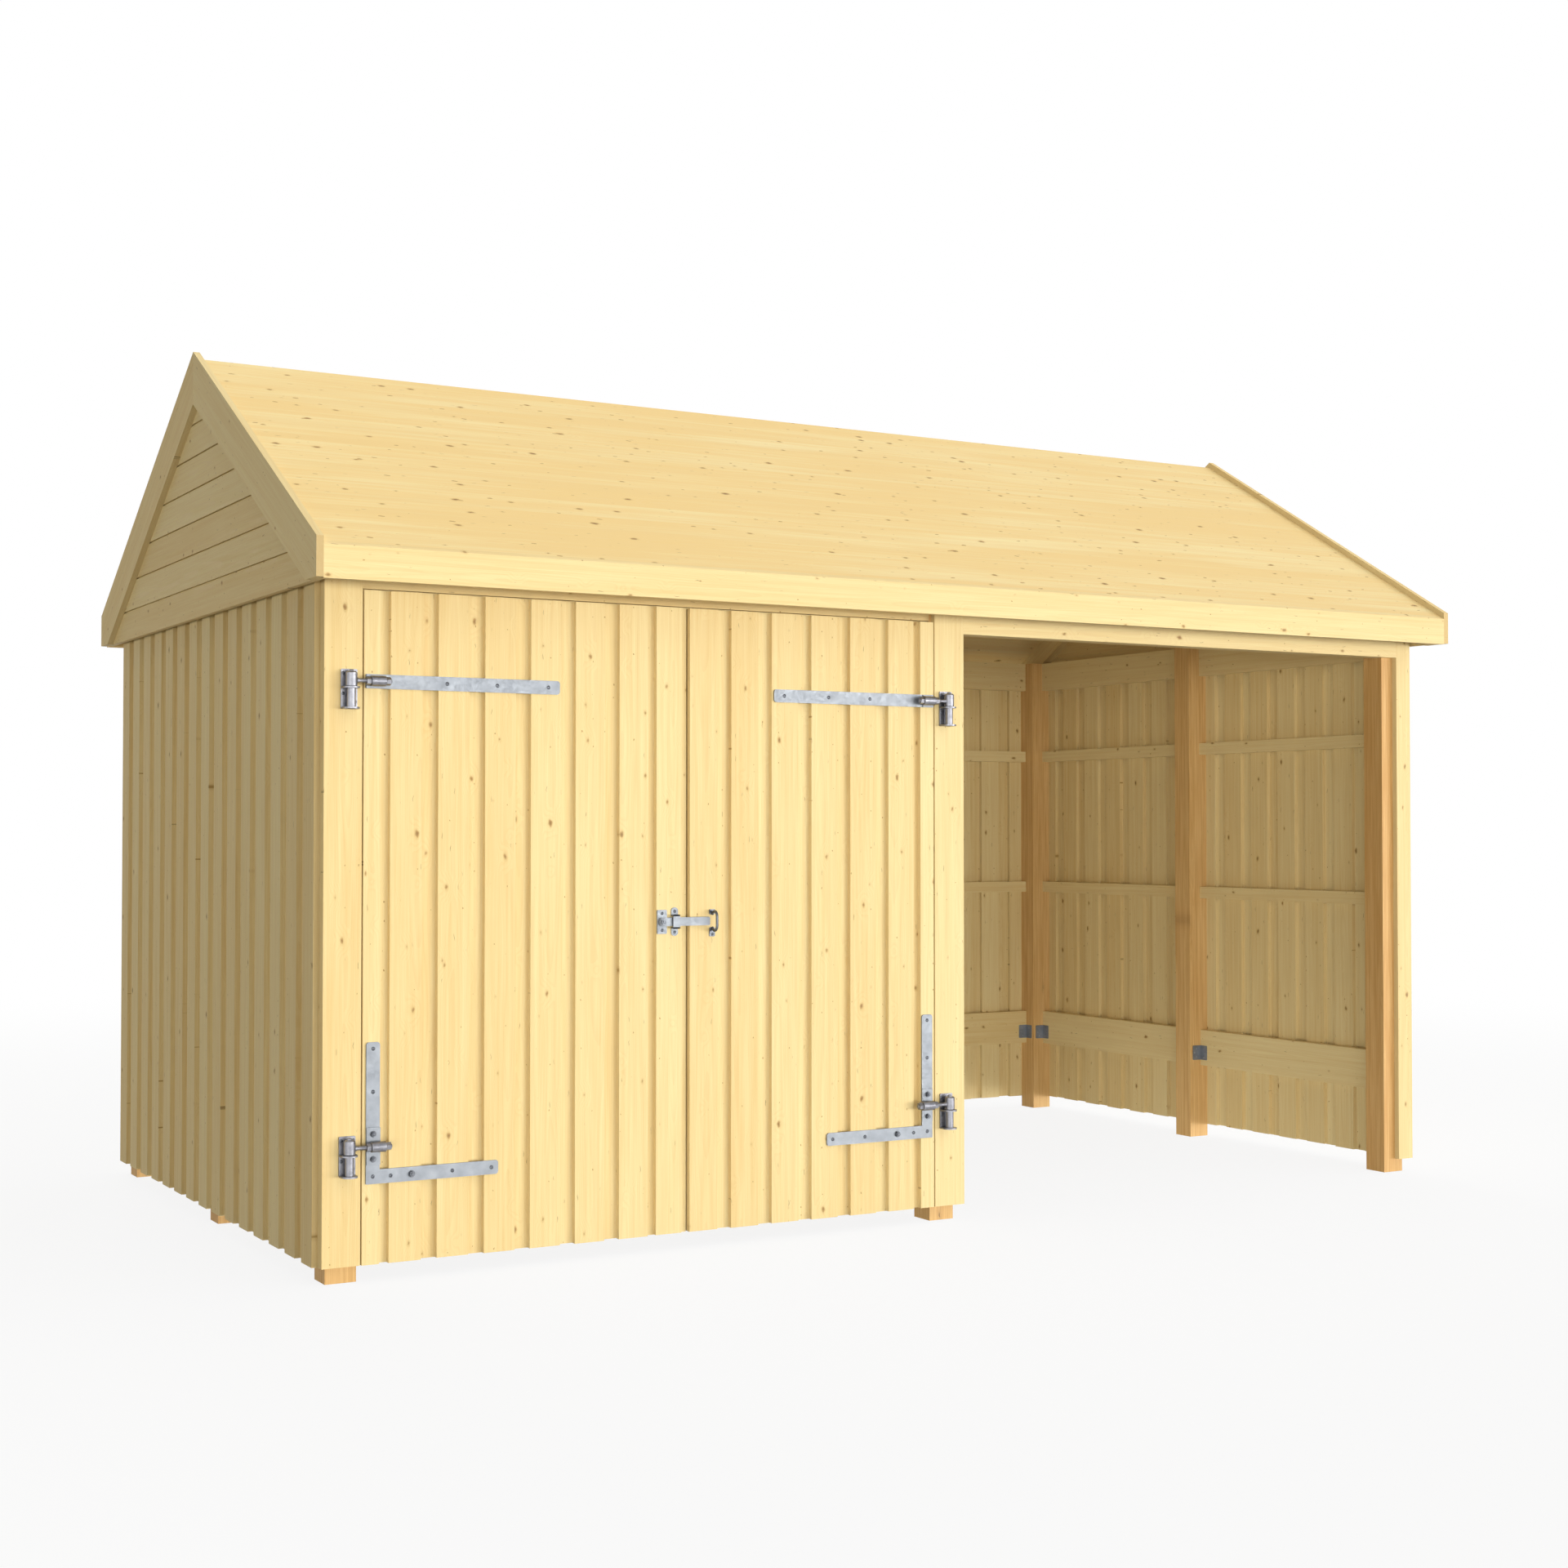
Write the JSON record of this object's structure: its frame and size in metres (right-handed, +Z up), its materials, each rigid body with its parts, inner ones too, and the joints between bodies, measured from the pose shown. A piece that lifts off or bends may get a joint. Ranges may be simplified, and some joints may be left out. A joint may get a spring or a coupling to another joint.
{
  "type": "open-front garden shed",
  "caption": "Timber garden shed with board-on-board walls, a saddle roof, a pair of hinged boarded doors with a sliding latch bar, and an open bay beside them.",
  "frame": {"origin": "on the ground at the middle of the shed's plan", "axes": "+Z up, +X along the front towards the open bay, the front faces -Y"},
  "size_m": [4.5, 2.716, 2.9511],
  "materials": {
    "pale_timber": "planed, impregnated",
    "post_timber": "planed, impregnated",
    "galvanised_steel": "galvanised"
  },
  "bodies": {
    "shed": {"front_left_post": "post_timber", "front_middle_post": "post_timber", "front_right_post": "post_timber", "left_middle_post": "post_timber", "right_middle_post": "post_timber", "back_left_post": "post_timber", "back_middle_post": "post_timber", "back_right_post": "post_timber", "left_gable_cladding": "pale_timber", "right_gable_cladding": "pale_timber", "back_cladding": "pale_timber", "left_rails": "pale_timber", "right_rails": "pale_timber", "back_rails": "pale_timber", "left_plates": "pale_timber", "right_plates": "pale_timber", "back_plates": "pale_timber", "front_plates": "pale_timber", "rail_brackets": "galvanised_steel", "front_left_trim": "pale_timber", "front_middle_trim": "pale_timber", "front_right_trim": "pale_timber", "bay_header": "pale_timber", "door_header": "pale_timber", "left_gable_panel": "pale_timber", "right_gable_panel": "pale_timber", "front_rafters": "pale_timber", "back_rafters": "pale_timber", "front_roof_deck": "pale_timber", "back_roof_deck": "pale_timber", "left_front_barge": "pale_timber", "left_back_barge": "pale_timber", "right_front_barge": "pale_timber", "right_back_barge": "pale_timber", "front_fascia": "pale_timber", "back_fascia": "pale_timber", "left_hinge_pintles": "galvanised_steel", "right_hinge_pintles": "galvanised_steel"},
    "left_door": {"left_door_boards": "pale_timber", "left_door_ledges": "pale_timber", "left_hinge_straps": "galvanised_steel", "latch_guides": "galvanised_steel"},
    "right_door": {"right_door_boards": "pale_timber", "right_door_ledges": "pale_timber", "right_hinge_straps": "galvanised_steel", "latch_staple": "galvanised_steel"},
    "latch": {"latch_bar": "galvanised_steel"}
  },
  "joints": [
    {"name": "left_door_swing", "type": "hinge", "parent": "shed", "child": "left_door", "pos_m": [-2.1035, -1.235, 0], "axis": [0, 0, -1], "range_deg": [0, 180]},
    {"name": "right_door_swing", "type": "hinge", "parent": "shed", "child": "right_door", "pos_m": [0.0035, -1.235, 0], "axis": [0, 0, 1], "range_deg": [0, 180]},
    {"name": "latch_slide", "type": "slide", "parent": "left_door", "child": "latch", "axis": [-1, 0, 0], "range_m": [0, 0.08]}
  ]
}
